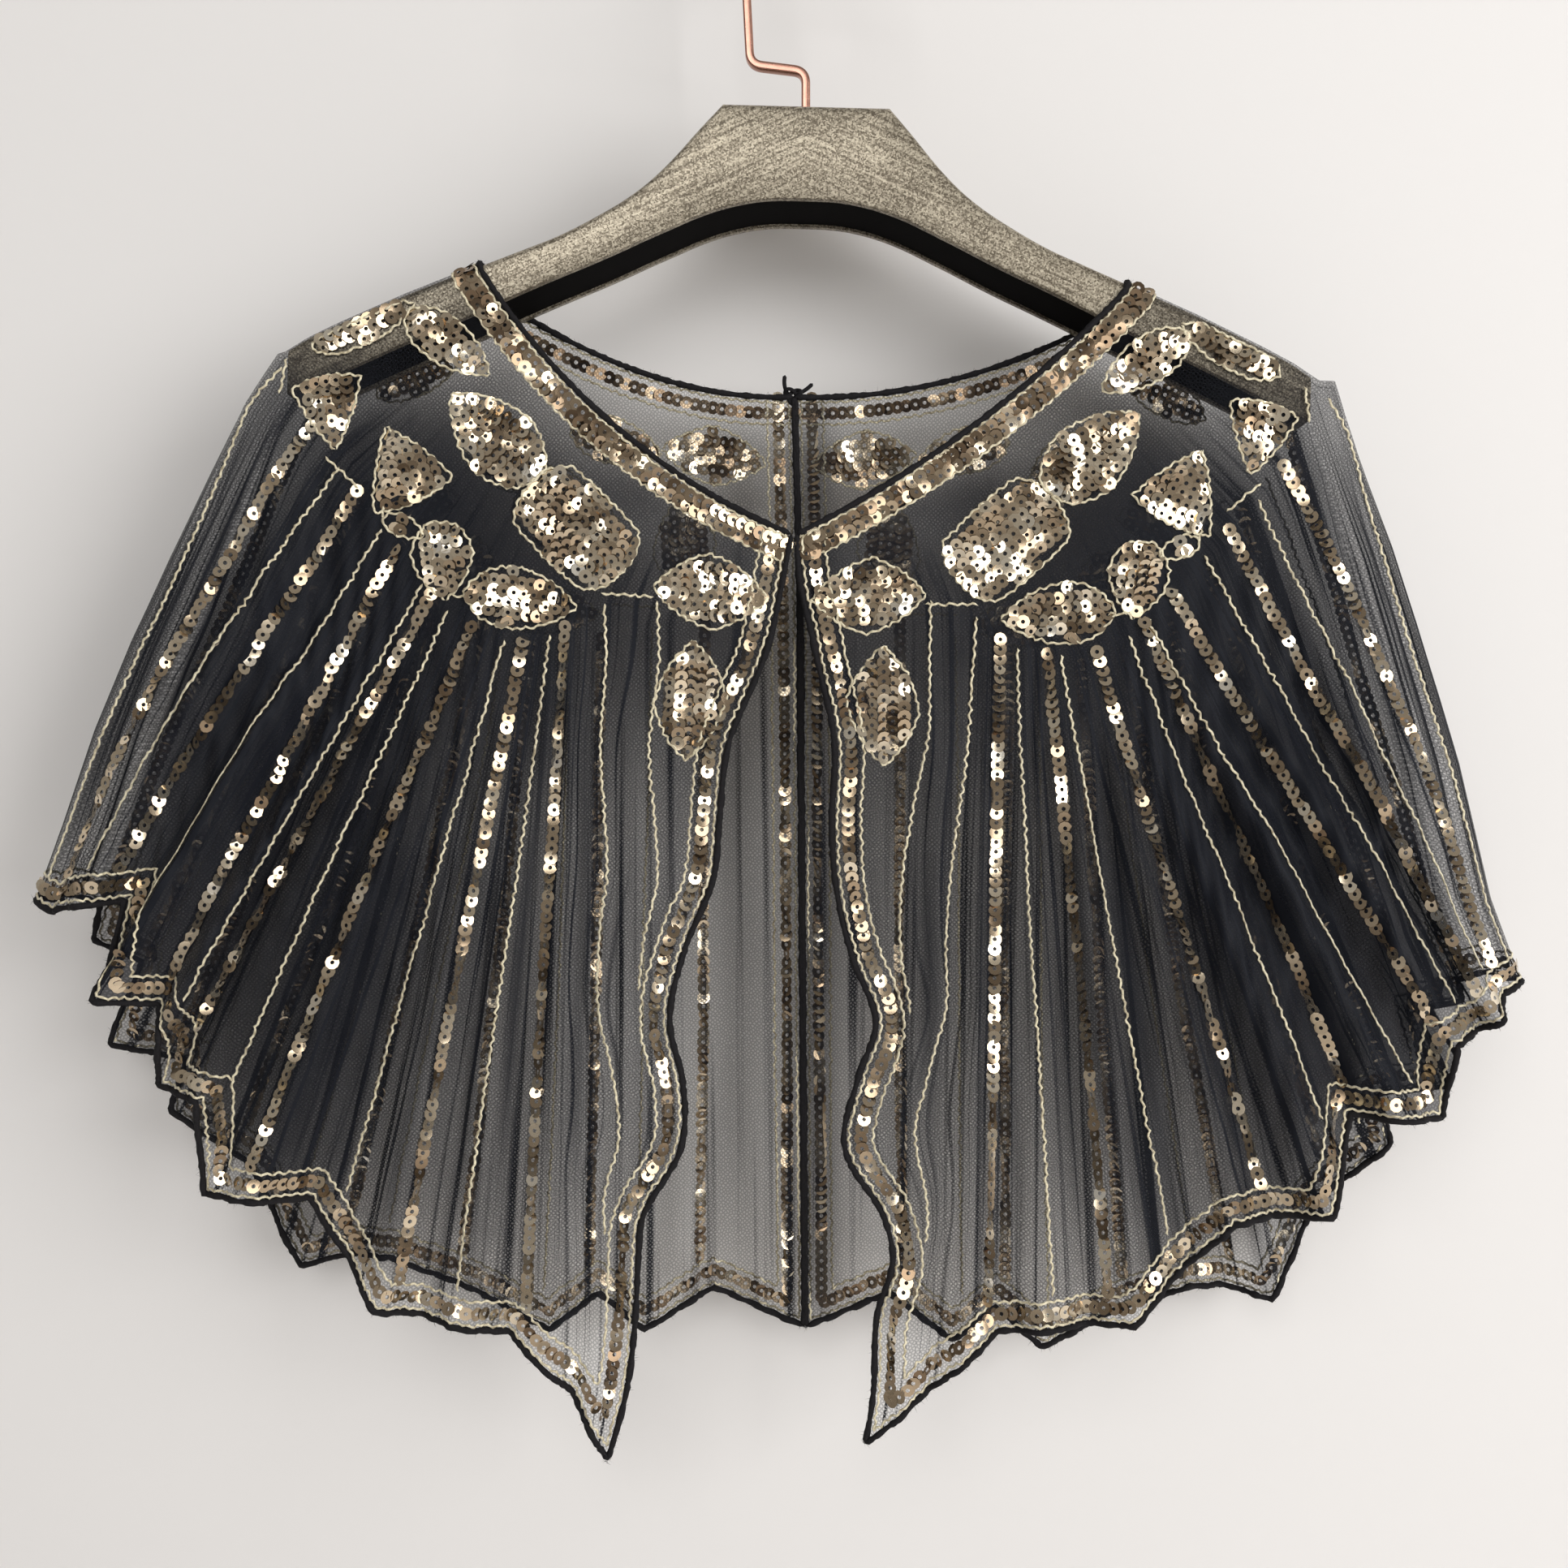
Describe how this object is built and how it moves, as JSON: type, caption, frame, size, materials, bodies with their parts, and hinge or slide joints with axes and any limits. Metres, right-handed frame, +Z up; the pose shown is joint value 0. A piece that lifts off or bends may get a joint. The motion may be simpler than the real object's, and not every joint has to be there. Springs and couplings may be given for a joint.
{
  "type": "sequinned net capelet on a hanger",
  "caption": "Open-fronted evening capelet of sheer black net with champagne sequin trims, motifs and fan lines, hanging on a broad-shouldered hanger.",
  "frame": {"origin": "inside top of the hook's arc, where it rests on a rail or nail", "axes": "+Z up, -Y towards the wearer's front, +X towards the wearer's left"},
  "size_m": [0.5352, 0.0692, 0.5678],
  "materials": {
    "net": "sheer",
    "hanger_glitter": "glitter",
    "hanger_underside": "satin",
    "hook_metal": "polished"
  },
  "bodies": {
    "root": {"cape_half_wearers_right": "net", "cape_half_wearers_left": "net", "hanger_shell": "hanger_glitter", "hanger_inlay": "hanger_underside", "hanger_hook": "hook_metal"}
  },
  "joints": []
}
